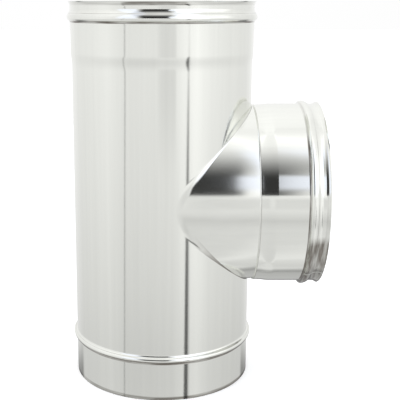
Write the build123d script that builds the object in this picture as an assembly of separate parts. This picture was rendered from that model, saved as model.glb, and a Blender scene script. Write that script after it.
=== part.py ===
from build123d import *
import os

# Stove pipe tee, single wall, in polished stainless sheet. Millimetres, +Z up.
# The main tube stands on its spigot and stacks on the pipe below with it.
# Its top end and its branch are sockets that take the spigots of the next pipes.
# The origin is the centre of the spigot's rim. Z is the main tube's axis, and the branch points along +X.

# Sheet and pipe
pipe_radius = 75.0           # outside of the tube and of every spigot, a 150 mm pipe
sheet = 0.5                  # thickness of the sheet
joint_clearance = 0.45       # radial gap between a spigot and the socket round it

# Main tube, from the bottom up
spigot_length = 30.5         # rim to the lower foot of the stop bead
stop_bead_height = 2.7       # how far the bead stands out of the tube
stop_bead_width = 8.4
lower_leg = 44.4             # straight tube between the stop bead and the neck
upper_leg = 38.1             # straight tube between the neck and the socket

# Neck drawn out of the tube's wall for the branch, which has the tube's own size
neck_ease = 0.7              # how much narrower the neck's rim is than the tube
neck_draft = 1.5             # how much narrower the neck is at the tube's axis than at its rim
neck_swell = 0.6             # how much wider the neck is half way along than at its rim
neck_stub = 1.0              # how far the rim stands past the tube's side
crease_radius = 0.8          # outer radius of the fold where the neck leaves the tube

# Socket mouths, the same at the top and on the branch
socket_depth = 43.0          # mouth to the inner step that stops the spigot
socket_taper = 5.0           # length over which the step widens the sheet
flare_length = 4.0           # height of the flared lip round the mouth
flare_turn = 40.0            # degrees by which it turns the sheet outwards
bead_gap = 1.6               # straight wall between the seal bead and the flare
seal_bead_height = 2.5
seal_bead_face = 4.3         # the seal bead's steep side, away from the mouth
seal_bead_back = 7.1         # its shallow side, towards the mouth

# Branch collar, of the pipe's size where it is welded to the neck
collar_land = 6.0            # straight wall between the weld and the socket's step

# Welds
seam_width = 1.2             # width of the lengthwise welds
seam_crown = 0.1             # how far a weld stands out of the sheet
ring_width = 1.0             # width of the weld round the branch
tube_seam_angle = 180.0      # round Z, from +X: behind the branch, out of the way of the neck
collar_seam_angle = 227.5    # round the branch, from +Y towards +Z: low on its front side

# Radii and levels that follow from the sizes above
neck_radius = pipe_radius - neck_ease
socket_radius = pipe_radius + joint_clearance + sheet
branch_level = spigot_length + stop_bead_width + lower_leg + neck_radius
top_land_level = branch_level + neck_radius + upper_leg
top_level = top_land_level + socket_taper + socket_depth
neck_reach = pipe_radius + neck_stub
neck_overrun = 3 * (crease_radius + sheet)    # by which the neck is made too long, for the fold to fit on it
collar_start = neck_reach + ring_width
collar_length = collar_land + socket_taper + socket_depth


def flank_edges(wall, foot, crest, height, inset):
    """One side of a rolled bead, from its foot at the wall up to its crest, as two tangent arcs.

    The wall is at radius wall, foot and crest are levels, and inset moves the curve inwards
    through the sheet.
    """
    length = abs(crest - foot)
    bend = (length ** 2 + height ** 2) / (4 * height)
    top_centre = Vector(wall + height - bend, crest)
    foot_centre = Vector(wall + bend, foot)
    away = (foot_centre - top_centre).normalized()
    foot_middle = (Vector(-1, 0) - away).normalized()
    top_middle = (Vector(1, 0) + away).normalized()
    join = top_centre + away * (bend - inset)
    return [
        ThreePointArc((wall - inset, foot), foot_centre + foot_middle * (bend + inset), join),
        ThreePointArc(join, top_centre + top_middle * (bend - inset), (wall + height - inset, crest)),
    ]


def turned_about(edges):
    """The same line run through from its other end."""
    return [ThreePointArc(edge @ 1, edge @ 0.5, edge @ 0) for edge in reversed(edges)]


def bead_edges(wall, foot, crest, end, height, inset):
    """A rolled bead from its lower foot over its crest to its upper end."""
    low_side = flank_edges(wall, foot, crest, height, inset)
    high_side = flank_edges(wall, end, crest, height, inset)
    return low_side + turned_about(high_side)


def flare_edge(mouth, inset):
    """The flared lip at a mouth, one arc that turns the sheet outwards up to its cut rim."""
    turned = Vector(-1, 0).rotate(Axis.Z, -flare_turn)
    bend = flare_length / turned.Y
    reach = bend + inset
    foot = Vector(socket_radius - inset, mouth - flare_length)
    rim = Vector(socket_radius + bend - (reach ** 2 - flare_length ** 2) ** 0.5, mouth)
    return TangentArc(foot, rim, tangent=(0, 1))


def joined(pieces):
    """One open line through the pieces, with straight runs between those that lie apart."""
    edges = []
    for piece in pieces:
        if edges and (edges[-1] @ 1 - piece @ 0).length > 1e-6:
            edges.append(Line(edges[-1] @ 1, piece @ 0))
        edges.append(piece)
    return edges


def mouth_edges(mouth, inset):
    """The seal bead and the flared lip below a mouth at level mouth."""
    seal_end = mouth - flare_length - bead_gap
    seal_crest = seal_end - seal_bead_back
    seal_foot = seal_crest - seal_bead_face
    seal = bead_edges(socket_radius, seal_foot, seal_crest, seal_end, seal_bead_height, inset)
    return seal + [flare_edge(mouth, inset)]


def tube_line(inset):
    """Section of the main tube, from the spigot's rim to the top mouth."""
    wall = pipe_radius - inset
    stop_end = spigot_length + stop_bead_width
    stop_crest = spigot_length + stop_bead_width / 2
    stop = bead_edges(pipe_radius, spigot_length, stop_crest, stop_end, stop_bead_height, inset)
    step = Line((wall, top_land_level), (socket_radius - inset, top_land_level + socket_taper))
    start = Line((wall, 0), stop[0] @ 0)
    return joined([start] + stop + [step] + mouth_edges(top_level, inset))


def collar_line(inset):
    """Section of the branch collar as it stands on its weld, with its mouth up."""
    wall = pipe_radius - inset
    land = Line((wall, 0), (wall, collar_land))
    step = Line((wall, collar_land), (socket_radius - inset, collar_land + socket_taper))
    return joined([land, step] + mouth_edges(collar_length, inset))


def ring_of(outer, inner):
    """Sheet metal between two section lines, turned round Z."""
    ends = [Line(outer[0] @ 0, inner[0] @ 0), Line(outer[-1] @ 1, inner[-1] @ 1)]
    section = make_face(outer + inner + ends)
    return revolve(Plane.XZ * section, Axis.Z)


def filled(line):
    """The solid inside a section line, turned round Z."""
    bottom = line[0] @ 0
    top = line[-1] @ 1
    foot = Vector(0, bottom.Y)
    head = Vector(0, top.Y)
    section = make_face(line + [Line(bottom, foot), Line(foot, head), Line(head, top)])
    return revolve(Plane.XZ * section, Axis.Z)


def neck(inset):
    """The drawn neck as a solid along +X, narrow at the tube's axis and widest half way to its rim.

    It runs on straight past its rim by the overrun.
    """
    start = Vector(neck_radius - neck_draft - inset, 0)
    middle = Vector(neck_radius + neck_swell - inset, neck_reach / 2)
    rim = Vector(neck_radius - inset, neck_reach)
    skin = ThreePointArc(start, middle, rim)
    past_rim = Line(rim, rim + (skin % 1) * neck_overrun)
    return Pos(0, 0, branch_level) * Rot(0, 90, 0) * filled([skin, past_rim])


def folded_tee(line, inset):
    """Tube and neck in one, with the crease between them rounded, cut off at the neck's rim."""
    tee = filled(line) + neck(inset)
    crease = [edge for edge in tee.edges() if is_crease(edge)]
    tee = fillet(crease, crease_radius + inset)
    past_rim = Cylinder(neck_radius + neck_overrun, 2 * neck_overrun, align=(Align.CENTER, Align.CENTER, Align.MIN))
    return tee - Pos(neck_reach, 0, branch_level) * Rot(0, 90, 0) * past_rim


def is_crease(edge):
    """True for the edge where the neck meets the tube."""
    box = edge.bounding_box()
    inside = box.max.X < neck_reach
    spans_neck = box.size.Z > neck_radius / 2 and box.size.Y > neck_radius / 2
    return inside and spans_neck


def seam_slot(angle, length):
    """The space of a lengthwise weld, a thin wall out from the axis at the given angle."""
    reach = 2 * pipe_radius
    slot = Pos(reach / 2, 0, length / 2) * Box(reach, seam_width, length)
    return Rot(0, 0, angle) * slot


def stand_on_neck(shape):
    """Turns a shape that was made upright on the origin so that it stands out of the neck."""
    return Pos(collar_start, 0, branch_level) * Rot(0, 90, 0) * Rot(0, 0, 90) * shape


def main_tube():
    tee = folded_tee(tube_line(0), 0) - folded_tee(tube_line(sheet), sheet)
    return tee - seam_slot(tube_seam_angle, top_level)


def tube_seam():
    strip = ring_of(tube_line(-seam_crown), tube_line(sheet))
    return strip & seam_slot(tube_seam_angle, top_level)


def branch_collar():
    collar = ring_of(collar_line(0), collar_line(sheet))
    return stand_on_neck(collar - seam_slot(collar_seam_angle, collar_length))


def collar_seam():
    strip = ring_of(collar_line(-seam_crown), collar_line(sheet))
    return stand_on_neck(strip & seam_slot(collar_seam_angle, collar_length))


def branch_weld():
    """The weld between the neck's rim and the collar, a ring with a slightly crowned outside."""
    neck_side = Vector(neck_radius, 0)
    collar_side = Vector(pipe_radius, ring_width)
    crown = (neck_side + collar_side) / 2 + Vector(seam_crown, 0)
    depth = Vector(sheet, 0)
    section = make_face([
        ThreePointArc(neck_side, crown, collar_side),
        Line(collar_side, collar_side - depth),
        Line(collar_side - depth, neck_side - depth),
        Line(neck_side - depth, neck_side),
    ])
    ring = revolve(Plane.XZ * section, Axis.Z)
    return stand_on_neck(Pos(0, 0, -ring_width) * ring)


parts = {
    "main_tube": main_tube,
    "tube_seam": tube_seam,
    "branch_weld": branch_weld,
    "branch_collar": branch_collar,
    "collar_seam": collar_seam,
}

os.makedirs("parts", exist_ok=True)
for name, make in parts.items():
    solid = make()
    export_step(solid, f"parts/{name}.step")
    print(name, round(solid.volume), "mm3")
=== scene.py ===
# %% [markdown]
# # A stove pipe tee in bright stainless sheet
#
# The tee is a rolled tube with a neck drawn out of its side. A short collar is welded to the neck, and the
# collar and the tube's top end in the same beaded socket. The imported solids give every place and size. They
# are made of flat facets, though, and bright sheet mirrors each facet, so this lesson makes the five pieces
# again as smooth skins of the same form and then gives them a polished finish and a studio to reflect.

import math

import bmesh
import bpy
from mathutils import Matrix, Vector


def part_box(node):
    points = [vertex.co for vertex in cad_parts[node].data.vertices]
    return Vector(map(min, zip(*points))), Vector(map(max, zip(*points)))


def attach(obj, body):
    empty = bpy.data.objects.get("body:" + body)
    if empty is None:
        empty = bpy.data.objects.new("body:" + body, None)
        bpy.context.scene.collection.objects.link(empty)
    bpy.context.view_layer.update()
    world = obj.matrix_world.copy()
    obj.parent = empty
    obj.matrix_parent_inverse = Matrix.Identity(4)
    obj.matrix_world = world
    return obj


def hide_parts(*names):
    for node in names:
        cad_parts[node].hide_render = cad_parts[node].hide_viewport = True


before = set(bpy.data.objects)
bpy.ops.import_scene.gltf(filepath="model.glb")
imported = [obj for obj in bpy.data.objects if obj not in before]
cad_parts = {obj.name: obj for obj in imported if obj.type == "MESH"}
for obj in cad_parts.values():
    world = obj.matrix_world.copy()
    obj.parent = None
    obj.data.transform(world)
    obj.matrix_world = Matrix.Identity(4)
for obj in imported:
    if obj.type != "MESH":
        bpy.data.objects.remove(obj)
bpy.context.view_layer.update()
print("packed pieces:", ", ".join(sorted(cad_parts)))

# %% [markdown]
# ## The sizes of the tee
#
# These are the driving sizes of the solids, in millimetres, because sheet work is measured so. A finished
# vertex is multiplied by MM. The levels follow from them in the same way as in the part's source, and the
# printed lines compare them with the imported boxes.

# %% Name the sizes in millimetres
MM = 0.001

pipe_radius = 75.0
sheet = 0.5
joint_clearance = 0.45

spigot_length = 30.5
stop_bead_height = 2.7
stop_bead_width = 8.4
lower_leg = 44.4
upper_leg = 38.1

neck_ease = 0.7
neck_draft = 1.5
neck_swell = 0.6
neck_stub = 1.0
crease_radius = 0.8

socket_depth = 43.0
socket_taper = 5.0
flare_length = 4.0
flare_turn = 40.0
bead_gap = 1.6
seal_bead_height = 2.5
seal_bead_face = 4.3
seal_bead_back = 7.1

collar_land = 6.0
ring_width = 1.0
seam_width = 1.2
seam_crown = 0.1
tube_seam_angle = 180.0
collar_seam_angle = 227.5

neck_radius = pipe_radius - neck_ease
socket_radius = pipe_radius + joint_clearance + sheet
branch_level = spigot_length + stop_bead_width + lower_leg + neck_radius
top_land_level = branch_level + neck_radius + upper_leg
top_level = top_land_level + socket_taper + socket_depth
neck_reach = pipe_radius + neck_stub
collar_start = neck_reach + ring_width
collar_length = collar_land + socket_taper + socket_depth

tube_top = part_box("main_tube")[1].z
collar_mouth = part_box("branch_collar")[1].x
print("top mouth at", top_level, "mm, packed", round(tube_top / MM, 2))
print("branch mouth at", collar_start + collar_length, "mm, packed", round(collar_mouth / MM, 2))

# %% [markdown]
# ## The section of a beaded sheet
#
# A bead is rolled into the sheet between two wheels, so each side of its section is two arcs that run into
# each other and into the wall without a corner. Each point of a section is kept with the way that the sheet
# faces there, as an angle above the horizontal. A mirror finish shows the slightest error in that, so it
# comes from the arcs themselves and isn't guessed from the mesh.
#
# Under each bead a brown painted shade darkens the sheet's colour, where shade and dark reflections gather.
# The fourth value of a point is the share of that painted shade, from 0 for plain sheet to 1. It fills the
# foot below a seal bead and the whole underside of the stop bead, and draws a thin line on their upper side.

# %% Draw a bead's section
FOOT_STEPS = 7
CREST_STEPS = 8
# Shares of painted shade under the beads and of the painted dark line on their upper side.
FOOT_TRACE = 0.92
DEEP_TRACE = 0.9
SHOULDER_TRACE = 0.4


def on_arc(centre, radius, angle):
    """A point of a section at this angle round an arc's centre."""
    return centre[0] + radius * math.cos(angle), centre[1] + radius * math.sin(angle)


def flank_points(wall, foot, crest, height, inset, deep=False):
    """Section points (radius, level, facing, trace) of one side of a bead, from its foot to its crest.

    The wall is at radius wall, foot and crest are levels, and inset moves the curve inwards through the
    sheet. The trace fills the lower foot, and the whole underside where the bead is deep.
    """
    length = abs(crest - foot)
    underside = crest > foot
    bend = (length**2 + height**2) / (4 * height)
    lean = (1 if underside else -1) * math.atan2(length, 2 * bend - height)
    under_trace = DEEP_TRACE if deep else FOOT_TRACE
    points = []
    for n in range(FOOT_STEPS):
        facing = -lean * n / FOOT_STEPS
        trace = under_trace if underside and n > 0 else 0.0
        points.append((*on_arc((wall + bend, foot), -(bend + inset), facing), facing, trace))
    for n in range(CREST_STEPS + 1):
        facing = -lean * (1 - n / CREST_STEPS)
        if underside:
            trace = DEEP_TRACE if deep and n < CREST_STEPS - 1 else 0.0
        else:
            trace = SHOULDER_TRACE if n == 0 else 0.0
        points.append((*on_arc((wall + height - bend, crest), bend - inset, facing), facing, trace))
    return points


def bead_points(wall, foot, crest, end, height, inset, deep=False):
    """Section points of a bead, from its lower foot over its crest to its upper end."""
    low_side = flank_points(wall, foot, crest, height, inset, deep)
    high_side = flank_points(wall, end, crest, height, inset)
    return low_side + high_side[-2::-1]


# %% Draw the flared lip
FLARE_STEPS = 8
# A little painted shade darkens the underside of the lip.
LIP_TRACE = 0.12


def flare_points(mouth, inset):
    """Section points of the flared lip, up to its rim at the level mouth."""
    bend = flare_length / math.sin(math.radians(flare_turn))
    reach = bend + inset
    centre = (socket_radius + bend, mouth - flare_length)
    last = math.asin(flare_length / reach)
    points = []
    for n in range(FLARE_STEPS + 1):
        facing = -last * n / FLARE_STEPS
        trace = LIP_TRACE if 1 < n < FLARE_STEPS - 1 else 0.0
        points.append((*on_arc(centre, -reach, facing), facing, trace))
    return points


print("the lip reaches a radius of", round(flare_points(top_level, 0)[-1][0], 2), "mm")

# %% Draw the step where the sheet widens into a socket
# The solids have a plain cone here. The rolled step is softer: its curve starts before the cone and ends
# after it, and the skew moves its steepest place up.
STEP_POINTS = 12
STEP_RUN_IN = 5.0
STEP_RUN_OUT = 2.5
STEP_SKEW = 1.3


def step_points(low_wall, high_wall, level, inset):
    """Section points of the rounded step from one wall's radius to the next, its cone starting at level."""
    start = level - STEP_RUN_IN
    length = socket_taper + STEP_RUN_IN + STEP_RUN_OUT
    points = []
    for n in range(STEP_POINTS + 1):
        t = n / STEP_POINTS
        u = t**STEP_SKEW
        rise = u * u * (3 - 2 * u)
        slope = 6 * u * (1 - u) * STEP_SKEW * t ** (STEP_SKEW - 1)
        facing = -math.atan(slope * (high_wall - low_wall) / length)
        radius = low_wall + (high_wall - low_wall) * rise - inset * math.cos(facing)
        points.append((radius, start + length * t - inset * math.sin(facing), facing, 0.0))
    return points


# %% Put the seal bead and the lip together
# The seal bead's crest lies half a millimetre lower than in the solids, as it does in the photograph.
CREST_SAG = 0.5


def mouth_points(mouth, inset):
    """The seal bead and the flared lip of a socket that ends at the level mouth."""
    seal_end = mouth - flare_length - bead_gap
    seal_foot = seal_end - seal_bead_back - seal_bead_face
    seal_crest = seal_end - seal_bead_back - CREST_SAG
    seal = bead_points(socket_radius, seal_foot, seal_crest, seal_end, seal_bead_height, inset)
    return seal + flare_points(mouth, inset)


print("a mouth has", len(mouth_points(top_level, 0)), "section points")

# %% [markdown]
# ## The neck's shape
#
# The neck is pulled out of the tube through a hole, which stretches the sheet over a round die. It leaves
# the tube narrow, swells a little and closes towards the weld. A parabola through three radii gives that
# curve. Where the neck leaves the tube the sheet turns in a small fold, and a ball that rolls along the
# corner, touching the tube and the neck, gives the fold's exact shape. The fold is tight above and below,
# where the sheet turns by a right angle, and opens towards its tips, where the neck runs flush into the tube.

# %% Follow the neck's curve
# In its outer half the real neck closes a little faster than the parabola, by 0.15 mm at the rim.
BELLY = 0.31
BELLY_CLOSING = 0.46


def neck_at(reach):
    """The neck's outer radius and slope at this distance from the tube's axis."""
    half = neck_reach / 2
    past = reach - half
    tilt = neck_draft / neck_reach
    bow = (neck_draft / 2 + neck_swell) / half**2
    share = max(0.0, past / half)
    radius = neck_radius + neck_swell + tilt * past - bow * past**2
    radius += BELLY * share**2 - BELLY_CLOSING * share**3
    slope = tilt - 2 * bow * past + (2 * BELLY * share - 3 * BELLY_CLOSING * share**2) / half
    return radius, slope


def neck_facing(reach, turn):
    """The way the neck's outside faces, turn being the angle round the branch from straight up."""
    slope = neck_at(reach)[1]
    return Vector((-slope, math.sin(turn), math.cos(turn))).normalized()


def neck_point(reach, turn):
    """A point of the neck's outside."""
    radius = neck_at(reach)[0]
    return Vector((reach, radius * math.sin(turn), branch_level + radius * math.cos(turn)))


print("the neck's rim has a radius of", round(neck_at(neck_reach)[0], 2), "mm")

# %% Roll a ball along the fold
# FOLD_OPENING is a power: the fold stays tight for most of the way and opens near its tips.
TIP_FOLD_RADIUS = 25.0
FOLD_OPENING = 12
HALVINGS = 40


def fold_at(turn):
    """The rolling ball's radius and centre, and where it touches the neck, at this angle round the branch."""
    radius = crease_radius + (TIP_FOLD_RADIUS - crease_radius) * math.sin(turn) ** FOLD_OPENING
    near = 1.0
    far = neck_reach
    for _ in range(HALVINGS):
        reach = (near + far) / 2
        ball = neck_point(reach, turn) + radius * neck_facing(reach, turn)
        if math.hypot(ball.x, ball.y) < pipe_radius + radius:
            near = reach
        else:
            far = reach
    return radius, ball, reach


tip_reach = fold_at(math.pi / 2)[2]
print("the crease's tip lies", round(tip_reach, 2), "mm from the tube's axis")

# %% [markdown]
# ## Smooth sheet from a section
#
# A rolled sheet is a strip of its section turned round an axis by nearly a full turn. The gap that is left is
# where the lengthwise weld runs. Each vertex carries its facing along, and the last helper gives those to
# the finished mesh as its normals. Only the sheared edges of the sheet keep the plain normals of their faces.
# The painted shade rides along in the same way and stays on the mesh as an attribute for the finish.

# %% Stand a section up as a strip
FACING = "facing"
TRACE = "painted_shade"


def grid_place(vert, columns, rows):
    """The column and row of a vertex in a fresh grid that reaches from -1 to 1."""
    return round((vert.co.x + 1) / 2 * columns), round((vert.co.y + 1) / 2 * rows)


def section_strip(bm, outer, inner):
    """Adds a flat strip between the outer and the inner section line, standing over the X axis."""
    facing_layer = bm.verts.layers.float_vector.new(FACING)
    trace_layer = bm.verts.layers.float.new(TRACE)
    last = len(outer) - 1
    grid = bmesh.ops.create_grid(bm, x_segments=last, y_segments=1, size=1.0)
    for vert in grid["verts"]:
        n, outside = grid_place(vert, last, 1)
        radius, level, facing, trace = outer[n] if outside else inner[n]
        vert[trace_layer] = trace if outside else 0.0
        vert[facing_layer] = (1 if outside else -1) * Vector((math.cos(facing), 0, math.sin(facing)))
        vert.co = Vector((radius, 0, level)) * MM


# %% Turn the strip into sheet
COLUMNS = 192
seam_turn = seam_width / pipe_radius
rolled_turn = 2 * math.pi - seam_turn


def turned_sheet(outer, inner, start, sweep, columns):
    """A bmesh of the section turned round Z from the angle start by the angle sweep."""
    bm = bmesh.new()
    section_strip(bm, outer, inner)
    bmesh.ops.rotate(bm, verts=bm.verts, cent=(0, 0, 0), matrix=Matrix.Rotation(start, 3, "Z"))
    bmesh.ops.spin(
        bm,
        geom=bm.verts[:] + bm.edges[:] + bm.faces[:],
        cent=(0, 0, 0),
        axis=(0, 0, 1),
        dvec=(0, 0, 0),
        angle=sweep,
        steps=columns,
        use_merge=False,
        use_duplicate=False,
    )
    layer = bm.verts.layers.float_vector[FACING]
    for vert in bm.verts:
        turn = Matrix.Rotation(math.atan2(vert.co.y, vert.co.x), 3, "Z")
        vert[layer] = turn @ vert[layer]
    return bm


def rolled_sheet(outer, inner, seam_angle):
    """Sheet turned by nearly a full turn, with the gap of its lengthwise weld at seam_angle, in degrees."""
    return turned_sheet(outer, inner, math.radians(seam_angle) + seam_turn / 2, rolled_turn, COLUMNS)


print("a column of a rolled sheet is", round(rolled_turn / COLUMNS * pipe_radius, 2), "mm wide")

# %% Finish a mesh with its true facings
MERGE_WITHIN = 0.002
SMOOTH_WITHIN = math.cos(math.radians(25))


def finished(bm, name, materials):
    """The bmesh as an object whose smooth skins keep their true facings."""
    bmesh.ops.remove_doubles(bm, verts=bm.verts, dist=MERGE_WITHIN * MM)
    bmesh.ops.recalc_face_normals(bm, faces=bm.faces)
    mesh = bpy.data.meshes.new(name)
    layer = bm.verts.layers.float_vector[FACING]
    bm.normal_update()
    bm.verts.index_update()
    facings = [vert[layer].normalized() for vert in bm.verts]
    bm.to_mesh(mesh)
    bm.free()
    normals = []
    for face in mesh.polygons:
        for corner in face.loop_indices:
            facing = facings[mesh.loops[corner].vertex_index]
            smooth = facing.dot(face.normal) > SMOOTH_WITHIN
            normals.append(facing if smooth else face.normal.copy())
    mesh.polygons.foreach_set("use_smooth", [True] * len(mesh.polygons))
    mesh.normals_split_custom_set(normals)
    for material in materials:
        mesh.materials.append(material)
    piece = bpy.data.objects.new(name, mesh)
    bpy.context.scene.collection.objects.link(piece)
    triangles = sum(len(face.vertices) - 2 for face in mesh.polygons)
    print(name, "has", triangles, "triangles")
    return piece


# %% [markdown]
# ## The main tube with its drawn neck
#
# The tube is turned first, and the faces where the neck will leave it are taken out of both skins. A
# flat grid is then wrapped into that window: it runs along the tube to the fold, up the neck's outside,
# over the rim and back down the inside. Its edge meets the tube's own vertices, so the two merge into one
# closed sheet. A grid keeps the mesh in even rows, which a boolean cut would not.
#
# The tube carries painted shade along its lower rim and in the fold, and, at the front, a painted dark
# reflection under the lip of its top mouth.

# %% Roll the tube
# The lowest millimetres of the rim carry painted shade.
RIM_TRACE = 0.75
RIM_TRACE_HEIGHT = 2.2
RIM_TRACE_END = 3.3
WINDOW_COLUMNS = 45
WINDOW_ROWS = 51
WINDOW_HALF_HEIGHT = 81.6
column_turn = rolled_turn / COLUMNS
window_half_turn = WINDOW_COLUMNS * column_turn


def tube_points(inset, window_rows):
    """The tube's section from the foot to the top mouth, with rows where the neck's window will be."""
    wall = pipe_radius - inset
    points = [(wall, 0.0, 0.0, RIM_TRACE), (wall, RIM_TRACE_HEIGHT, 0.0, RIM_TRACE)]
    points.append((wall, RIM_TRACE_END, 0.0, 0.0))
    stop_end = spigot_length + stop_bead_width
    stop_crest = spigot_length + stop_bead_width / 2
    points += bead_points(pipe_radius, spigot_length, stop_crest, stop_end, stop_bead_height, inset, True)
    for n in range(window_rows + 1):
        level = branch_level + WINDOW_HALF_HEIGHT * (2 * n / window_rows - 1)
        points.append((wall, level, 0.0, 0.0))
    points += step_points(pipe_radius, socket_radius, top_land_level, inset)
    points += mouth_points(top_level, inset)
    return points


tube_bm = rolled_sheet(
    tube_points(0, 2 * WINDOW_ROWS),
    tube_points(sheet, 2 * WINDOW_ROWS),
    tube_seam_angle,
)
print("the rolled tube has", len(tube_bm.faces), "faces")

# %% Paint a dark reflection under the top lip
# The painted reflection starts and ends at these angles round the tube, in degrees from its front.
LIP_REFLECTION = 0.75
LIP_REFLECTION_START = -24.5
LIP_REFLECTION_END = 16.0
LIP_REFLECTION_FADE = 3.0


def painted_lip(bm):
    """Adds the painted dark reflection under the top lip, and counts the vertices that it darkens."""
    layer = bm.verts.layers.float[TRACE]
    darkened = 0
    for vert in bm.verts:
        turn = math.degrees(math.atan2(vert.co.x, -vert.co.y))
        share = min(turn - LIP_REFLECTION_START, LIP_REFLECTION_END - turn) / LIP_REFLECTION_FADE
        under_lip = vert.co.z / MM > top_level - flare_length and vert[layer] > 0
        if under_lip and share > 0:
            vert[layer] = max(vert[layer], LIP_REFLECTION * min(1.0, share))
            darkened += 1
    return darkened


print("painted on", painted_lip(tube_bm), "vertices under the lip")

# %% Open the window for the neck


def in_window(face):
    """True for a face of the tube that the neck's grid takes the place of."""
    centre = face.calc_center_median()
    turn = abs(math.atan2(centre.y, centre.x))
    height = abs(centre.z / MM - branch_level)
    return turn < window_half_turn and height < WINDOW_HALF_HEIGHT


window_faces = [face for face in tube_bm.faces if in_window(face)]
bmesh.ops.delete(tube_bm, geom=window_faces, context="FACES")
print("took", len(window_faces), "faces out of the two skins")

# %% Follow the window's edge
TURNS = 4 * (WINDOW_COLUMNS + WINDOW_ROWS)


def window_edge(n):
    """Angle round the tube and height above the branch of the window's edge, n counting round it."""
    half_way = TURNS // 2
    from_top = min(n, TURNS - n)
    steps = min(from_top, half_way - from_top)
    side = 1 if n <= half_way else -1
    up = 1 if from_top <= half_way // 2 else -1
    if steps <= WINDOW_COLUMNS:
        return side * steps * column_turn, up * WINDOW_HALF_HEIGHT
    height = WINDOW_HALF_HEIGHT * (1 - (steps - WINDOW_COLUMNS) / WINDOW_ROWS)
    return side * window_half_turn, up * height


print("the window's edge has", TURNS, "steps")

# %% Lay rows from the window's edge over the fold to the neck's rim
# The fold carries painted shade, as the crease lies in shade. Below the branch it carries more.
APRON_ROWS = 10
FOLD_ROWS = 8
NECK_ROWS = 22
FOLD_TRACE = 0.6
LOWER_FOLD_TRACE = 0.85
LOWER_FOLD_FADING = 3


def fold_trace_at(radius, below):
    """The share of painted shade in a fold of this radius, which is 0 where the fold is open."""
    tightness = (TIP_FOLD_RADIUS - radius) / (TIP_FOLD_RADIUS - crease_radius)
    if below:
        return LOWER_FOLD_TRACE * tightness**LOWER_FOLD_FADING
    return FOLD_TRACE * tightness**FOLD_OPENING


def neck_rows(n):
    """Points, facings and traces of the outer skin, from the window's edge over the fold to the rim."""
    turn = 2 * math.pi * n / TURNS
    radius, ball, reach = fold_at(turn)
    tube_facing = Vector((ball.x, ball.y, 0)).normalized()
    neck_face = neck_facing(reach, turn)
    fold_turn = math.atan2(ball.y, ball.x)
    edge_turn, edge_height = window_edge(n)
    fold_height = ball.z - branch_level
    rows = []
    for row in range(APRON_ROWS):
        t = math.sin(row / APRON_ROWS * math.pi / 2)
        around_tube = edge_turn + (fold_turn - edge_turn) * t
        height = edge_height + (fold_height - edge_height) * t
        facing = Vector((math.cos(around_tube), math.sin(around_tube), 0))
        point = pipe_radius * facing + Vector((0, 0, branch_level + height))
        rows.append((point, facing, 0.0))
    below = math.cos(turn) < 0
    fold_trace = fold_trace_at(radius, below)
    for row in range(FOLD_ROWS):
        facing = tube_facing.slerp(neck_face, row / FOLD_ROWS)
        in_hollow = FOLD_ROWS // 4 <= row <= FOLD_ROWS // 2 or (below and row > 0)
        rows.append((ball - radius * facing, facing, fold_trace if in_hollow else 0.0))
    for row in range(NECK_ROWS + 1):
        along = reach + (neck_reach - reach) * row / NECK_ROWS
        rows.append((neck_point(along, turn), neck_facing(along, turn), 0.0))
    return rows


# %% Wrap a grid over the rows and back along the inside


def neck_sheet():
    """A bmesh of the neck's grid, whose first rows are the outer skin and whose last are the inner one."""
    bm = bmesh.new()
    facing_layer = bm.verts.layers.float_vector.new(FACING)
    trace_layer = bm.verts.layers.float.new(TRACE)
    lines = [neck_rows(n) for n in range(TURNS + 1)]
    rim_row = len(lines[0]) - 1
    last_row = 2 * rim_row + 1
    grid = bmesh.ops.create_grid(bm, x_segments=TURNS, y_segments=last_row, size=1.0)
    for vert in grid["verts"]:
        n, row = grid_place(vert, TURNS, last_row)
        inside = row > rim_row
        row = last_row - row if inside else row
        point, facing, trace = lines[n][row]
        if inside:
            point = point - sheet * facing
            facing = -facing
            trace = 0.0
        if inside and row == rim_row:
            point.x = neck_reach
        vert.co = point * MM
        vert[facing_layer] = facing
        vert[trace_layer] = trace
    return bm


neck_bm = neck_sheet()
print("the neck's grid has", len(neck_bm.faces), "faces")

# %% Join the neck to the tube
DRAWN = 1
PAST_TUBE = 0.02


def joined_sheet(tube, neck):
    """The tube with the neck's grid merged into its window. Faces past the fold take the drawn finish."""
    for face in neck.faces:
        centre = face.calc_center_median() / MM
        past_tube = math.hypot(centre.x, centre.y) > pipe_radius + PAST_TUBE
        face.material_index = DRAWN if past_tube else 0
    spare = bpy.data.meshes.new("spare")
    neck.to_mesh(spare)
    neck.free()
    tube.from_mesh(spare)
    bpy.data.meshes.remove(spare)
    return tube


tube_bm = joined_sheet(tube_bm, neck_bm)
print("tube and neck have", len(tube_bm.faces), "faces together")

# %% [markdown]
# ## Finishes
#
# The tee is bright annealed stainless sheet: cold rolled between polished rolls and annealed without air, so
# that it stays nearly a mirror. It still shows how it was worked. Rolling it into a tube leaves faint flats
# along the tube, and drawing the neck stretches its skin a little matt. Both are bumps of a few thousandths
# of a millimetre, and the colour is that of the steel itself.
#
# A brown painted shade lies on it in patches. One material with a steel and a painted shade colour, mixed by
# the trace that the vertices carry, keeps the painted shade where the sheet's form gathers shade.

# %% Helpers for colours and nodes


def linear(colour):
    """The linear colour of an sRGB hex value such as #ffffff."""
    parts = [int(colour[n : n + 2], 16) / 255 for n in (1, 3, 5)]
    straight = [c / 12.92 if c <= 0.04045 else ((c + 0.055) / 1.055) ** 2.4 for c in parts]
    return (*straight, 1.0)


def add_node(tree, kind, settings=None, **inputs):
    """A node of this kind with its settings, and its inputs set to a value or linked to a socket.

    An input is given by its name, or by its place as in_0, in_1 and so on.
    """
    node = tree.nodes.new(kind)
    for key, value in (settings or {}).items():
        setattr(node, key, value)
    for key, value in inputs.items():
        place = int(key[3:]) if key.startswith("in_") and key[3:].isdigit() else key.replace("_", " ")
        socket = node.inputs[place]
        if isinstance(value, bpy.types.NodeSocket):
            tree.links.new(value, socket)
        else:
            socket.default_value = value
    return node


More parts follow.
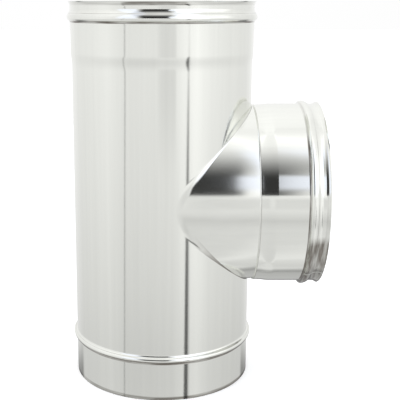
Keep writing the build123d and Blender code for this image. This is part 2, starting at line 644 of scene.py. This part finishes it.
def new_material(name):
    """An empty material with its tree, its Principled node and the output joined up."""
    material = bpy.data.materials.new(name)
    material.use_nodes = True
    tree = material.node_tree
    tree.nodes.clear()
    shader = add_node(tree, "ShaderNodeBsdfPrincipled")
    add_node(tree, "ShaderNodeOutputMaterial", Surface=shader.outputs["BSDF"])
    return material, tree, shader


# %% Colour the steel and its painted shade
# Rolling streaks are finer than a millimetre. They are drawn four wide, because finer ones don't show.
STEEL = "#ecede8"
ROLLING_STREAK = "#e8e9e4"
STREAK_WIDTH = 4.0
# The brown of the painted shade, and the size of its patches.
PAINTED_SHADE_BROWN = "#5a5046"
SHADE_PATCH_WIDTH = 7.0
THINNEST_SHADE = 0.42


def streaked_steel(tree, along):
    """The colour of the steel, with faint streaks from the rolls."""
    streaks = add_node(tree, "ShaderNodeTexNoise", Vector=along, Scale=1 / (STREAK_WIDTH * MM), Detail=4.0)
    share = add_node(tree, "ShaderNodeMapRange", Value=streaks.outputs["Fac"], From_Min=0.3, From_Max=0.8)
    steel = add_node(
        tree,
        "ShaderNodeMix",
        {"data_type": "RGBA"},
        in_0=share.outputs["Result"],
        in_6=linear(STEEL),
        in_7=linear(ROLLING_STREAK),
    )
    return steel.outputs[2]


def shade_share(tree, place, stretch):
    """How much painted shade lies on the sheet: the trace of its vertices, thicker and thinner in patches."""
    trace = add_node(tree, "ShaderNodeAttribute", {"attribute_name": TRACE}).outputs["Fac"]
    shade_place = add_node(tree, "ShaderNodeMapping", Vector=place, Scale=stretch).outputs["Vector"]
    patch_scale = 1 / (SHADE_PATCH_WIDTH * MM)
    patches = add_node(tree, "ShaderNodeTexNoise", Vector=shade_place, Scale=patch_scale, Detail=3.0)
    patch_depth = add_node(
        tree,
        "ShaderNodeMapRange",
        Value=patches.outputs["Fac"],
        From_Min=0.35,
        From_Max=0.6,
        To_Min=THINNEST_SHADE,
        To_Max=1.0,
    )
    share = add_node(
        tree, "ShaderNodeMath", {"operation": "MULTIPLY"}, in_0=trace, in_1=patch_depth.outputs["Result"]
    )
    return share.outputs["Value"]


print("steel is", linear(STEEL), "and painted shade", linear(PAINTED_SHADE_BROWN), "in linear light")

# %% Make the bright annealed sheet


def bright_sheet(name, roughness, stretch, flat_width, flat_depth, shade_stretch):
    """Bright stainless sheet with flats of this width and depth, in millimetres.

    stretch scales the sheet's pattern on each axis, so that the flats run along the tube. The last
    argument does the same for the painted shade, whose streaks run round the beads.
    """
    material, tree, shader = new_material(name)
    place = add_node(tree, "ShaderNodeTexCoord").outputs["Object"]
    along = add_node(tree, "ShaderNodeMapping", Vector=place, Scale=stretch).outputs["Vector"]
    flats = add_node(tree, "ShaderNodeTexNoise", Vector=along, Scale=1 / (flat_width * MM), Detail=3.0)
    bump = add_node(
        tree,
        "ShaderNodeBump",
        Height=flats.outputs["Fac"],
        Distance=flat_depth * MM,
        Strength=1.0,
    )
    colour = add_node(
        tree,
        "ShaderNodeMix",
        {"data_type": "RGBA"},
        in_0=shade_share(tree, place, shade_stretch),
        in_6=streaked_steel(tree, along),
        in_7=linear(PAINTED_SHADE_BROWN),
    )
    tree.links.new(colour.outputs[2], shader.inputs["Base Color"])
    tree.links.new(bump.outputs["Normal"], shader.inputs["Normal"])
    shader.inputs["Metallic"].default_value = 1.0
    shader.inputs["Roughness"].default_value = roughness
    return material


# The tube's sheet is nearly a mirror. Its flats run up the tube and bend the reflections a little.
tube_finish = bright_sheet(
    "bright_annealed_tube_sheet",
    roughness=0.09,
    stretch=(1, 1, 0.02),
    flat_width=12.0,
    flat_depth=0.006,
    shade_stretch=(0.3, 0.3, 3),
)
# The neck's skin was stretched over the die, which blurs what it reflects.
drawn_finish = bright_sheet(
    "drawn_neck_skin",
    roughness=0.13,
    stretch=(0.2, 1, 1),
    flat_width=14.0,
    flat_depth=0.002,
    shade_stretch=(0.3, 0.3, 0.3),
)
# The collar's sheet is as bright as the tube's, with closer flats along the branch.
collar_finish = bright_sheet(
    "bright_annealed_collar_sheet",
    roughness=0.09,
    stretch=(0.02, 1, 1),
    flat_width=7.0,
    flat_depth=0.006,
    shade_stretch=(3, 0.3, 0.3),
)
# A planished weld is hammered flat and brushed: steel too, but more matt, with small dents.
weld_finish = bright_sheet(
    "planished_weld",
    roughness=0.25,
    stretch=(1, 1, 1),
    flat_width=2.0,
    flat_depth=0.01,
    shade_stretch=(1, 1, 1),
)
for finish in (tube_finish, drawn_finish, collar_finish, weld_finish):
    print("made the finish", finish.name)

# %% Finish the main tube
main_tube = finished(tube_bm, "smooth_main_tube", [tube_finish, drawn_finish])
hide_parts("main_tube")
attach(main_tube, "root")

# %% [markdown]
# ## The collar
#
# The collar is rolled and welded by itself, then fitted on the neck. Its land, next to the ring weld,
# flares very slightly towards the socket's step. It is turned upright like the tube and then laid over by
# one matrix, which turns the facings too.
#
# Painted shade lies in a thin line along its weld and round its bead, as on the tube. It is thinner on the
# top of the collar, and a painted dark reflection lies in the lowest part of its mouth.

# %% Roll the collar
LAND_FLARE = 0.1
# Next to the ring weld a thin line of painted shade darkens the collar's edge.
RING_TRACE = 0.5
RING_TRACE_WIDTH = 0.7


def collar_points(inset):
    """The collar's section from its weld to its mouth."""
    lean = -math.atan(LAND_FLARE / collar_land)
    points = [(pipe_radius - inset, 0.0, lean, RING_TRACE)]
    points.append((pipe_radius - inset, RING_TRACE_WIDTH, lean, 0.0))
    points += step_points(pipe_radius + LAND_FLARE, socket_radius, collar_land, inset)
    points += mouth_points(collar_length, inset)
    return points


collar_bm = rolled_sheet(collar_points(0), collar_points(sheet), collar_seam_angle)
print("the rolled collar has", len(collar_bm.faces), "faces")

# %% Stand the collar on the neck
STAND_ON_NECK = (
    Matrix.Translation(Vector((collar_start, 0, branch_level)) * MM)
    @ Matrix.Rotation(math.pi / 2, 4, "Y")
    @ Matrix.Rotation(math.pi / 2, 4, "Z")
)


def stood_on_neck(bm):
    """Moves an upright bmesh so that it stands out of the neck, with its facings."""
    bmesh.ops.transform(bm, matrix=STAND_ON_NECK, verts=bm.verts)
    layer = bm.verts.layers.float_vector[FACING]
    turn = STAND_ON_NECK.to_3x3()
    for vert in bm.verts:
        vert[layer] = turn @ vert[layer]
    return bm


collar_bm = stood_on_neck(collar_bm)
print("the collar's mouth is", round(max(vert.co.x for vert in collar_bm.verts) / MM, 2), "mm out")

# %% Paint a dark reflection in the collar's mouth
# The painted reflection starts and is full at these depths below the branch's axis, and the painted shade
# thins out between these heights above it, all in millimetres.
MOUTH_REFLECTION = 0.85
MOUTH_REFLECTION_START = 20.0
MOUTH_REFLECTION_FULL = 27.0
MOUTH_REFLECTION_WIDTH = 16.5
TOP_FADE = 0.75
TOP_FADE_START = 48.0
TOP_FADE_FULL = 62.0


def painted_below(bm):
    """Thins the painted shade on the collar's top, adds the painted reflection in its mouth, and counts
    those.
    """
    layer = bm.verts.layers.float[TRACE]
    darkened = 0
    for vert in bm.verts:
        depth = branch_level - vert.co.z / MM
        share = (depth - MOUTH_REFLECTION_START) / (MOUTH_REFLECTION_FULL - MOUTH_REFLECTION_START)
        top_fade = (-depth - TOP_FADE_START) / (TOP_FADE_FULL - TOP_FADE_START)
        vert[layer] *= 1 - TOP_FADE * min(1.0, max(0.0, top_fade))
        at_mouth = vert.co.x / MM > collar_start + collar_length - MOUTH_REFLECTION_WIDTH
        if at_mouth and share > 0:
            vert[layer] = max(vert[layer], MOUTH_REFLECTION * min(1.0, share))
            darkened += 1
    return darkened


print("painted on", painted_below(collar_bm), "vertices in the branch's mouth")

# %% Finish the collar
branch_collar = finished(collar_bm, "smooth_branch_collar", [collar_finish])
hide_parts("branch_collar")
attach(branch_collar, "root")

# %% [markdown]
# ## The welds
#
# Three planished welds close the tee: the ring between neck and collar, and a lengthwise weld in each
# rolled sheet. They are narrow strips that stand a tenth of a millimetre proud of the outside, and inside
# they are flush, so that a brush doesn't catch on them. A lengthwise weld is the sheet's own section turned
# through the gap that the rolling left, so its edges meet the sheet's at every bead.

# %% Make the lengthwise welds
# The crown is eased by two thousandths of a millimetre, to keep the welds inside the solids' box.
SEAM_STEPS = 6
CROWN_EASE = 0.002


def raised(bm, angle, half_turn, crown):
    """Lifts the middle of a lengthwise weld's strip so that it stands proud of the outside."""
    layer = bm.verts.layers.float_vector[FACING]
    for vert in bm.verts:
        turn = math.atan2(vert.co.y, vert.co.x) - angle
        turn = (turn + math.pi) % (2 * math.pi) - math.pi
        outwards = vert[layer].x * vert.co.x + vert[layer].y * vert.co.y > 0
        lift = crown * max(0.0, 1 - (turn / half_turn) ** 2) if outwards else 0.0
        vert.co += lift * MM * vert[layer]
    return bm


def seam_strip(outer, inner, seam_angle):
    """The strip of a lengthwise weld at seam_angle round Z, in degrees."""
    angle = math.radians(seam_angle)
    bm = turned_sheet(outer, inner, angle - seam_turn / 2, seam_turn, SEAM_STEPS)
    return raised(bm, angle, seam_turn / 2, seam_crown - CROWN_EASE)


tube_seam_bm = seam_strip(tube_points(0, 1), tube_points(sheet, 1), tube_seam_angle)
tube_seam = finished(tube_seam_bm, "smooth_tube_seam", [weld_finish])
collar_seam_bm = seam_strip(collar_points(0), collar_points(sheet), collar_seam_angle)
collar_seam = finished(stood_on_neck(collar_seam_bm), "smooth_collar_seam", [weld_finish])

# %% Make the ring weld
RING_STEPS = 8
# The collar's side of the ring carries painted shade, where the groove at the collar's edge lies in shade.
RING_TRACE_FROM = 0.8
SQUARE_ACROSS = 0.9
ON_PLANE = 1e-6


def ring_points(inset):
    """The ring weld's section, from the neck's rim to the collar's edge."""
    points = []
    for n in range(RING_STEPS + 1):
        t = n / RING_STEPS
        wall = neck_radius + (pipe_radius - neck_radius) * t
        slope = (pipe_radius - neck_radius) / ring_width + (1 - 2 * t) * 4 * seam_crown / ring_width
        crown = 4 * seam_crown * t * (1 - t)
        trace = RING_TRACE if t > RING_TRACE_FROM else 0.0
        points.append((wall + crown - inset, (t - 1) * ring_width, -math.atan(slope), trace))
    return points


def is_end_face(face):
    """True for the faces that the strip starts and ends with, which a full turn leaves inside the ring."""
    across = abs(face.normal.y) > SQUARE_ACROSS
    return across and abs(face.calc_center_median().y) < ON_PLANE


ring_bm = turned_sheet(ring_points(0), ring_points(sheet), 0.0, 2 * math.pi, COLUMNS)
end_faces = [face for face in ring_bm.faces if is_end_face(face)]
bmesh.ops.delete(ring_bm, geom=end_faces, context="FACES_ONLY")
branch_weld = finished(stood_on_neck(ring_bm), "smooth_branch_weld", [weld_finish])

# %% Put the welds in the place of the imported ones
for weld, node in ((tube_seam, "tube_seam"), (collar_seam, "collar_seam"), (branch_weld, "branch_weld")):
    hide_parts(node)
    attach(weld, "root")

# %% [markdown]
# ## The studio
#
# Bright sheet shows the room more than itself, so the room is the other half of the finish. The tee stands
# in a white light tent on a white table. The tent is open towards the camera, and that opening is what the
# neck and the beads show dark. A lamp shines through the tent's side at the right of it. Two narrow gaps
# between the tent's cloths give the two dark lines down the tube.
#
# Cloths and lamps could be built as objects, but they would stand in the way of a camera on the other side.
# The room is a world instead, painted by direction alone, so the sheet sees the same room from any place.
# The table is painted in it too, because the sheet shows its dark far side and the floor has none.

# %% Measure directions in the room
room = bpy.data.worlds.new("light_tent")
room.use_nodes = True
bpy.context.scene.world = room
tent = room.node_tree
tent.nodes.clear()
look = add_node(tent, "ShaderNodeTexCoord").outputs["Generated"]
axes = add_node(tent, "ShaderNodeSeparateXYZ", Vector=look).outputs


def in_degrees(angle):
    """An angle of the room in degrees."""
    return add_node(tent, "ShaderNodeMath", {"operation": "DEGREES"}, in_0=angle).outputs["Value"]


def leaning_to(axis):
    """How far a direction leans towards this axis, in degrees."""
    lean = add_node(tent, "ShaderNodeMath", {"operation": "ARCSINE"}, in_0=axis)
    return in_degrees(lean.outputs["Value"])


# around is 0 towards the camera and grows to the right, above is 0 at the horizon and 90 overhead, and
# sideways is 0 straight ahead or behind and 90 to the right.
ahead = add_node(tent, "ShaderNodeMath", {"operation": "MULTIPLY"}, in_0=axes["Y"], in_1=-1.0)
turned = add_node(
    tent, "ShaderNodeMath", {"operation": "ARCTAN2"}, in_0=axes["X"], in_1=ahead.outputs["Value"]
)
around = in_degrees(turned.outputs["Value"])
above = leaning_to(axes["Z"])
sideways = leaning_to(axes["X"])
off_camera = add_node(tent, "ShaderNodeMath", {"operation": "ABSOLUTE"}, in_0=around).outputs["Value"]
print("the room is measured by", len(tent.nodes), "nodes")

# %% Draw soft-edged areas by those directions
# An area is a share from 0 outside it to 1 inside it.


def times(first, second):
    """The product of two areas, which is where both are, or of an area and a brightness."""
    product = add_node(tent, "ShaderNodeMath", {"operation": "MULTIPLY"}, in_0=first, in_1=second)
    return product.outputs["Value"]


def either(first, second):
    """The area of both together."""
    larger = add_node(tent, "ShaderNodeMath", {"operation": "MAXIMUM"}, in_0=first, in_1=second)
    return larger.outputs["Value"]


def outside(area):
    """All that isn't in the area."""
    rest = add_node(tent, "ShaderNodeMath", {"operation": "SUBTRACT"}, in_0=1.0, in_1=area)
    return rest.outputs["Value"]


def past(value, edge, blur):
    """0 before the edge and 1 past it, changing over the blur, in degrees."""
    share = add_node(
        tent,
        "ShaderNodeMapRange",
        {"interpolation_type": "SMOOTHSTEP"},
        Value=value,
        From_Min=edge - blur / 2,
        From_Max=edge + blur / 2,
    )
    return share.outputs["Result"]


def between(value, low, high, low_blur, high_blur):
    """1 where value is from low to high, falling to 0 over the blurs, in degrees."""
    return times(past(value, low, low_blur), outside(past(value, high, high_blur)))


# %% Shade and light those areas


def ramp(value, stops):
    """A grey ramp over value, with stops of (degrees, brightness) from the lowest to the highest."""
    low = stops[0][0]
    high = stops[-1][0]
    share = add_node(tent, "ShaderNodeMapRange", Value=value, From_Min=low, From_Max=high)
    node = add_node(tent, "ShaderNodeValToRGB", Fac=share.outputs["Result"])
    elements = node.color_ramp.elements
    while len(elements) < len(stops):
        elements.new(0.5)
    for element, (place, grey) in zip(elements, stops):
        element.position = (place - low) / (high - low)
        element.color = (grey, grey, grey, 1.0)
    return node.outputs["Color"]


def dimmed(light, area, strength):
    """The light with this share of it taken away in the area."""
    return times(light, outside(times(area, strength)))


def brightened(light, area, strength):
    """The light with this much added in the area."""
    total = add_node(
        tent, "ShaderNodeMath", {"operation": "MULTIPLY_ADD"}, in_0=area, in_1=strength, in_2=light
    )
    return total.outputs["Value"]


# %% Paint the tent's cloth
# The cloth is brightest overhead and at the right, where the lamp stands behind it.
CLOTH_BRIGHTNESS = 1.12
CLOTH_BY_HEIGHT = [
    (-90, 0.74), (-35, 0.76), (-25, 0.66), (-19, 0.76), (-12, 0.84),
    (-4, 0.90), (10, 0.90), (40, 1.0), (90, 1.08),
]
CLOTH_AROUND = [
    (-180, 1.0), (-150, 0.97), (-130, 0.92), (-105, 0.94), (-72, 1.0), (-58, 0.95),
    (-40, 0.90), (-10, 0.92), (15, 0.95), (26, 1.06), (45, 1.14), (62, 1.0),
    (90, 0.94), (130, 0.88), (150, 0.96), (180, 1.0),
]

brightness = times(ramp(above, CLOTH_BY_HEIGHT), ramp(around, CLOTH_AROUND))
brightness = times(brightness, CLOTH_BRIGHTNESS)
print("the cloth is brightest", max(CLOTH_AROUND, key=lambda stop: stop[1])[0], "degrees to the right")

# %% Paint the table's far side and the camera's stand
# An area's four numbers are where it starts and ends and how soft those two edges are, in degrees. An
# edge has two: where it is and how soft.
BEHIND = (134.0, 6.0)
TABLE_BEHIND = [
    (-90, 0.0), (-75, 0.0), (-69, 0.52), (-66, 0.52), (-62, 0.36),
    (-38, 0.34), (-34.5, 0.66), (-24.5, 0.58), (-22.5, 0.0), (0, 0.0),
]
STAND_AROUND = (-4.0, 17.0, 8.0, 2.0)
STAND_ABOVE = (-9.0, 3.0, 8.0, 4.0)
STAND_SHADE = 0.14

table_shade = times(past(off_camera, *BEHIND), ramp(above, TABLE_BEHIND))
brightness = dimmed(brightness, table_shade, 1.0)
stand = times(between(around, *STAND_AROUND), between(above, *STAND_ABOVE))
brightness = dimmed(brightness, stand, STAND_SHADE)
print("the table's far side is darker by up to", max(shade for _, shade in TABLE_BEHIND))

# %% Open the tent towards the camera
# The lamp and the glow round it fill the right side of the opening.
FRONT = (90.0, 20.0)
OPENING_SIDEWAYS = (-26.0, 14.0, 12.0, 4.0)
OPENING_ABOVE = (7.3, 52.5, 1.2, 50.0)
OPENING_SHADE = 0.96
LAMP_EDGE = (7.48, 0.8)
LAMP_ABOVE = (14.0, 32.0, 9.0, 6.0)
GLOW_EDGE = (9.4, 3.6)
GLOW_BY_HEIGHT = [(0, 1.0), (22, 1.0), (31, 0.72), (39, 0.5), (50, 0.4), (90, 0.4)]
GLOW_ABOVE = (6.0, 34.0, 6.0, 20.0)
GLOW_LIGHT = 0.28

in_front = outside(past(off_camera, *FRONT))
side_lamp = times(past(sideways, *LAMP_EDGE), between(above, *LAMP_ABOVE))
side_glow = times(past(sideways, *GLOW_EDGE), ramp(above, GLOW_BY_HEIGHT))
opening = times(between(sideways, *OPENING_SIDEWAYS), between(above, *OPENING_ABOVE))
opening = times(times(opening, in_front), outside(either(side_lamp, side_glow)))
brightness = dimmed(brightness, opening, OPENING_SHADE)
glow_light = times(past(sideways, *GLOW_EDGE), between(above, *GLOW_ABOVE))
brightness = brightened(brightness, times(glow_light, in_front), GLOW_LIGHT)
print("the opening is", OPENING_SIDEWAYS[1] - OPENING_SIDEWAYS[0], "degrees wide")

# %% Light the cloths at both sides of the opening
LEFT_CLOTH = (-55.0, -30.0, 8.0, 6.0)
RIGHT_CLOTH = (18.0, 58.0, 8.0, 8.0)
LIT_ABOVE = (6.0, 64.0, 6.0, 20.0)
LIT_CLOTHS = 0.35
LAMP_AROUND = (7.6, 35.0, 0.8, 10.0)

lit_cloths = either(between(around, *LEFT_CLOTH), between(around, *RIGHT_CLOTH))
lit_cloths = times(lit_cloths, between(above, *LIT_ABOVE))
brightness = brightened(brightness, lit_cloths, LIT_CLOTHS)
lamp_light = either(times(side_lamp, between(around, *LAMP_AROUND)), lit_cloths)
print("the lit cloths are brighter by", LIT_CLOTHS)

# %% Part the cloths by two gaps
# Each gap leans, by this many degrees round the room for each degree up. A soft shade lies at the foot of
# the right one.
LEFT_LEAN = 0.23
LEFT_GAP = (-45.9, -44.7, 0.8, 0.8)
LEFT_GAP_ABOVE = (-33.0, 4.0, 6.0, 6.0)
LEFT_GAP_SHADE = 0.58
RIGHT_LEAN = 0.13
RIGHT_GAP_NEAR = (32.2, 0.7)
RIGHT_GAP_FAR = (33.9, 1.6)
RIGHT_GAP_BY_HEIGHT = [
    (-40, 0.0), (-33, 0.0), (-28, 0.88), (-16, 0.8), (-9.8, 0.7),
    (-6.4, 0.5), (-3, 0.15), (6, 0.0), (10, 0.0),
]
FOOT_SHADE_AROUND = (31.0, 35.5, 1.0, 4.0)
FOOT_SHADE_ABOVE = (-31.0, -17.0, 6.0, 8.0)
FOOT_SHADE = 0.3


def leaning_round(lean):
    """Degrees round the room, counted from a line that leans."""
    node = add_node(
        tent, "ShaderNodeMath", {"operation": "MULTIPLY_ADD"}, in_0=above, in_1=-lean, in_2=around
    )
    return node.outputs["Value"]


gap_left = times(between(leaning_round(LEFT_LEAN), *LEFT_GAP), between(above, *LEFT_GAP_ABOVE))
brightness = dimmed(brightness, gap_left, LEFT_GAP_SHADE)
gap_right = times(past(leaning_round(RIGHT_LEAN), *RIGHT_GAP_NEAR), outside(past(around, *RIGHT_GAP_FAR)))
brightness = dimmed(brightness, times(gap_right, ramp(above, RIGHT_GAP_BY_HEIGHT)), 1.0)
foot_shade = times(between(around, *FOOT_SHADE_AROUND), between(above, *FOOT_SHADE_ABOVE))
brightness = dimmed(brightness, foot_shade, FOOT_SHADE)
print("the left gap is", round(LEFT_GAP[1] - LEFT_GAP[0], 2), "degrees wide")

# %% Tint the light and hang the room round the scene
# Lamp light is a little bluer than the cloth that spreads it.
CLOTH_LIGHT = "#ffffff"
LAMP_LIGHT = "#eff3ff"

tent_light = add_node(
    tent,
    "ShaderNodeMix",
    {"data_type": "RGBA"},
    in_0=lamp_light,
    in_6=linear(CLOTH_LIGHT),
    in_7=linear(LAMP_LIGHT),
)
background = add_node(tent, "ShaderNodeBackground", Color=tent_light.outputs[2], Strength=brightness)
add_node(tent, "ShaderNodeOutputWorld", Surface=background.outputs["Background"])
print("the room is painted by", len(tent.nodes), "nodes")

# %% [markdown]
# ## The table
#
# The tee stands on a matt white table, so wide that its edge is never seen. The tent lights it and the tee
# shades it. A small glow, which only camera, mirror and glass rays see, brings it to the photograph's white
# without lighting the tee. The table hides itself from mirror rays altogether, because the sheet sees the
# table that is painted in the room.

# %% Lay the floor
FLOOR_REACH = 10.0
FLOOR_COLOUR = "#f7f7f7"
FLOOR_ROUGHNESS = 0.9
FLOOR_GLOW = 0.35

floor_mesh = bpy.data.meshes.new("studio_floor")
floor_bm = bmesh.new()
bmesh.ops.create_grid(floor_bm, x_segments=1, y_segments=1, size=FLOOR_REACH)
floor_bm.to_mesh(floor_mesh)
floor_bm.free()
studio_floor = bpy.data.objects.new("studio_floor", floor_mesh)
bpy.context.scene.collection.objects.link(studio_floor)

floor_finish, floor_tree, floor_shader = new_material("matt_white_table")
floor_shader.inputs["Base Color"].default_value = linear(FLOOR_COLOUR)
floor_shader.inputs["Roughness"].default_value = FLOOR_ROUGHNESS
floor_shader.inputs["Emission Color"].default_value = linear("#ffffff")
ray = add_node(floor_tree, "ShaderNodeLightPath").outputs
seen = ray["Is Camera Ray"]
for other_ray in ("Is Glossy Ray", "Is Transmission Ray"):
    seen = add_node(floor_tree, "ShaderNodeMath", in_0=seen, in_1=ray[other_ray]).outputs["Value"]
glow = add_node(floor_tree, "ShaderNodeMath", {"operation": "MULTIPLY"}, in_0=seen, in_1=FLOOR_GLOW)
floor_tree.links.new(glow.outputs["Value"], floor_shader.inputs["Emission Strength"])
floor_mesh.materials.append(floor_finish)
studio_floor.visible_glossy = False
print("the floor reaches", FLOOR_REACH, "m to each side")

# %% [markdown]
# ## The camera
#
# A camera was fitted to the outlines and bead lines of the photograph. It stands level with the tee's top
# mouth and looks 12 degrees down. The photograph was cut out of a wider one, which a small shift stands for.

# %% Stand the camera up
CAMERA_PLACE = (0, -0.70077, 0.31501)
CAMERA_TILT = 77.998
SENSOR_WIDTH = 36.0
LENS = 74.91
SHIFT_X = 0.09485
SHIFT_Y = -0.04538

camera_data = bpy.data.cameras.new("camera")
camera_data.sensor_width = SENSOR_WIDTH
camera_data.lens = LENS
camera_data.shift_x = SHIFT_X
camera_data.shift_y = SHIFT_Y
camera = bpy.data.objects.new("camera", camera_data)
camera.location = CAMERA_PLACE
camera.rotation_euler = (math.radians(CAMERA_TILT), 0, 0)
bpy.context.scene.collection.objects.link(camera)
bpy.context.scene.camera = camera
bpy.context.scene.view_settings.view_transform = "Standard"
print("the camera looks", round(90 - CAMERA_TILT, 1), "degrees down")
